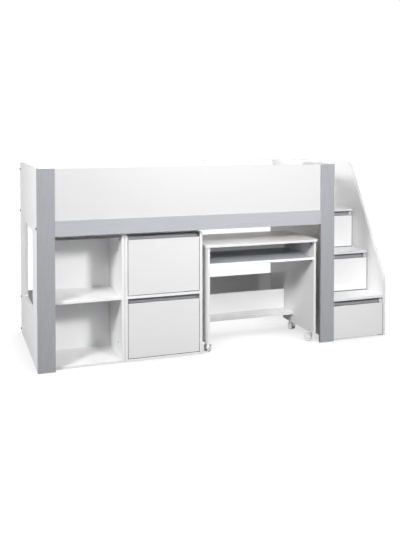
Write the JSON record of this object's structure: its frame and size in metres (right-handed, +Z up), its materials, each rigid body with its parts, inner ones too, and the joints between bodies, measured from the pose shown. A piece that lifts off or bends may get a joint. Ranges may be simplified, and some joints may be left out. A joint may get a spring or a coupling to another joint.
{
  "type": "loft bed with desk",
  "caption": "Mid-height loft bed with open bookcase, drawer cabinet and roll-out desk underneath and a staircase of drawers at the right end.",
  "frame": {"origin": "centre of the footprint of the whole bed, on the floor", "axes": "+X along the bed to the stairs at the right end, +Y towards the wall, +Z up"},
  "size_m": [2.365, 0.955, 1.19],
  "materials": {
    "white_board": "white lacquered board, satin",
    "grey_board": "grey foiled board with a faint wood grain, matt",
    "pull_grey": "grey powder coat",
    "drawer_box": "off-white foiled board",
    "pine": "planed, unlacquered softwood",
    "dark_steel": "blackened steel",
    "castor_white": "moulded nylon",
    "castor_wheel": "soft light tread"
  },
  "bodies": {
    "bed_frame": {"left_end_panel": "white_board", "right_end_panel": "white_board", "left_front_post": "grey_board", "right_front_post": "grey_board", "front_rail": "grey_board", "front_guard": "white_board", "back_guard": "white_board", "lower_back_board": "white_board", "slat_frame": "pine", "end_bolt_1": "dark_steel", "end_bolt_2": "dark_steel", "end_bolt_3": "dark_steel", "bookcase_left_side": "white_board", "bookcase_right_side": "white_board", "bookcase_top": "white_board", "bookcase_bottom": "white_board", "bookcase_shelf": "white_board", "bookcase_back": "white_board", "cabinet_left_side": "white_board", "cabinet_right_side": "white_board", "cabinet_top": "white_board", "cabinet_bottom": "white_board", "cabinet_shelf": "white_board", "cabinet_back": "white_board", "stair_side_panel": "white_board", "stair_tread_1": "white_board", "stair_tread_2": "white_board", "stair_tread_3": "white_board", "stair_guard_panel": "white_board", "stair_back_panel": "white_board"},
    "cabinet_drawer_upper": {"cabinet_drawer_upper_front": "white_board", "cabinet_drawer_upper_pull": "pull_grey", "cabinet_drawer_upper_box": "drawer_box"},
    "cabinet_drawer_lower": {"cabinet_drawer_lower_front": "white_board", "cabinet_drawer_lower_pull": "pull_grey", "cabinet_drawer_lower_box": "drawer_box"},
    "stair_drawer_lower": {"stair_drawer_lower_front": "white_board", "stair_drawer_lower_pull": "pull_grey", "stair_drawer_lower_box": "drawer_box"},
    "stair_drawer_middle": {"stair_drawer_middle_front": "white_board", "stair_drawer_middle_pull": "pull_grey", "stair_drawer_middle_box": "drawer_box"},
    "stair_drawer_upper": {"stair_drawer_upper_front": "white_board", "stair_drawer_upper_pull": "pull_grey", "stair_drawer_upper_box": "drawer_box"},
    "desk": {"desktop": "white_board", "desk_left_side": "white_board", "desk_right_side": "white_board", "keyboard_shelf": "grey_board", "desk_upper_back": "white_board", "modesty_panel": "white_board", "foot_shelf": "white_board"},
    "castor_front_left": {"castor_housing_front_left": "castor_white"},
    "wheel_front_left": {"castor_wheels_front_left": "castor_wheel"},
    "castor_front_right": {"castor_housing_front_right": "castor_white"},
    "wheel_front_right": {"castor_wheels_front_right": "castor_wheel"},
    "castor_back_left": {"castor_housing_back_left": "castor_white"},
    "wheel_back_left": {"castor_wheels_back_left": "castor_wheel"},
    "castor_back_right": {"castor_housing_back_right": "castor_white"},
    "wheel_back_right": {"castor_wheels_back_right": "castor_wheel"}
  },
  "joints": [
    {"name": "cabinet_drawer_upper_slide", "type": "slide", "parent": "bed_frame", "child": "cabinet_drawer_upper", "axis": [0, -1, 0], "range_m": [0, 0.24]},
    {"name": "cabinet_drawer_lower_slide", "type": "slide", "parent": "bed_frame", "child": "cabinet_drawer_lower", "axis": [0, -1, 0], "range_m": [0, 0.24]},
    {"name": "stair_drawer_lower_slide", "type": "slide", "parent": "bed_frame", "child": "stair_drawer_lower", "axis": [0, -1, 0], "range_m": [0, 0.45]},
    {"name": "stair_drawer_middle_slide", "type": "slide", "parent": "bed_frame", "child": "stair_drawer_middle", "axis": [0, -1, 0], "range_m": [0, 0.45]},
    {"name": "stair_drawer_upper_slide", "type": "slide", "parent": "bed_frame", "child": "stair_drawer_upper", "axis": [0, -1, 0], "range_m": [0, 0.36]},
    {"name": "desk_roll", "type": "slide", "parent": "bed_frame", "child": "desk", "axis": [0, -1, 0], "range_m": [0, 0.6]},
    {"name": "castor_front_left_swivel", "type": "hinge", "parent": "desk", "child": "castor_front_left", "pos_m": [-0.115, -0.4115, 0.055], "axis": [0, 0, 1], "range_deg": [-150, 60]},
    {"name": "wheel_front_left_spin", "type": "hinge", "parent": "castor_front_left", "child": "wheel_front_left", "pos_m": [-0.10086, -0.39736, 0.022], "axis": [-0.7071, 0.7071, 0], "continuous": true},
    {"name": "castor_front_right_swivel", "type": "hinge", "parent": "desk", "child": "castor_front_right", "pos_m": [0.638, -0.4115, 0.055], "axis": [0, 0, 1], "continuous": true},
    {"name": "wheel_front_right_spin", "type": "hinge", "parent": "castor_front_right", "child": "wheel_front_right", "pos_m": [0.62386, -0.39736, 0.022], "axis": [-0.7071, -0.7071, 0], "continuous": true},
    {"name": "castor_back_left_swivel", "type": "hinge", "parent": "desk", "child": "castor_back_left", "pos_m": [-0.115, -0.0915, 0.055], "axis": [0, 0, 1], "range_deg": [-45, 165]},
    {"name": "wheel_back_left_spin", "type": "hinge", "parent": "castor_back_left", "child": "wheel_back_left", "pos_m": [-0.105, -0.10882, 0.022], "axis": [0.866, 0.5, 0], "continuous": true},
    {"name": "castor_back_right_swivel", "type": "hinge", "parent": "desk", "child": "castor_back_right", "pos_m": [0.638, -0.0915, 0.055], "axis": [0, 0, 1], "continuous": true},
    {"name": "wheel_back_right_spin", "type": "hinge", "parent": "castor_back_right", "child": "wheel_back_right", "pos_m": [0.64385, -0.11063, 0.022], "axis": [0.9563, 0.2924, 0], "continuous": true}
  ],
  "couplings": [
    {"joint": "wheel_front_left_spin", "follows": "desk_roll", "rad_per_m": -32.141},
    {"joint": "wheel_front_right_spin", "follows": "desk_roll", "rad_per_m": -32.141},
    {"joint": "wheel_back_left_spin", "follows": "desk_roll", "rad_per_m": 39.365},
    {"joint": "wheel_back_right_spin", "follows": "desk_roll", "rad_per_m": 43.468}
  ]
}
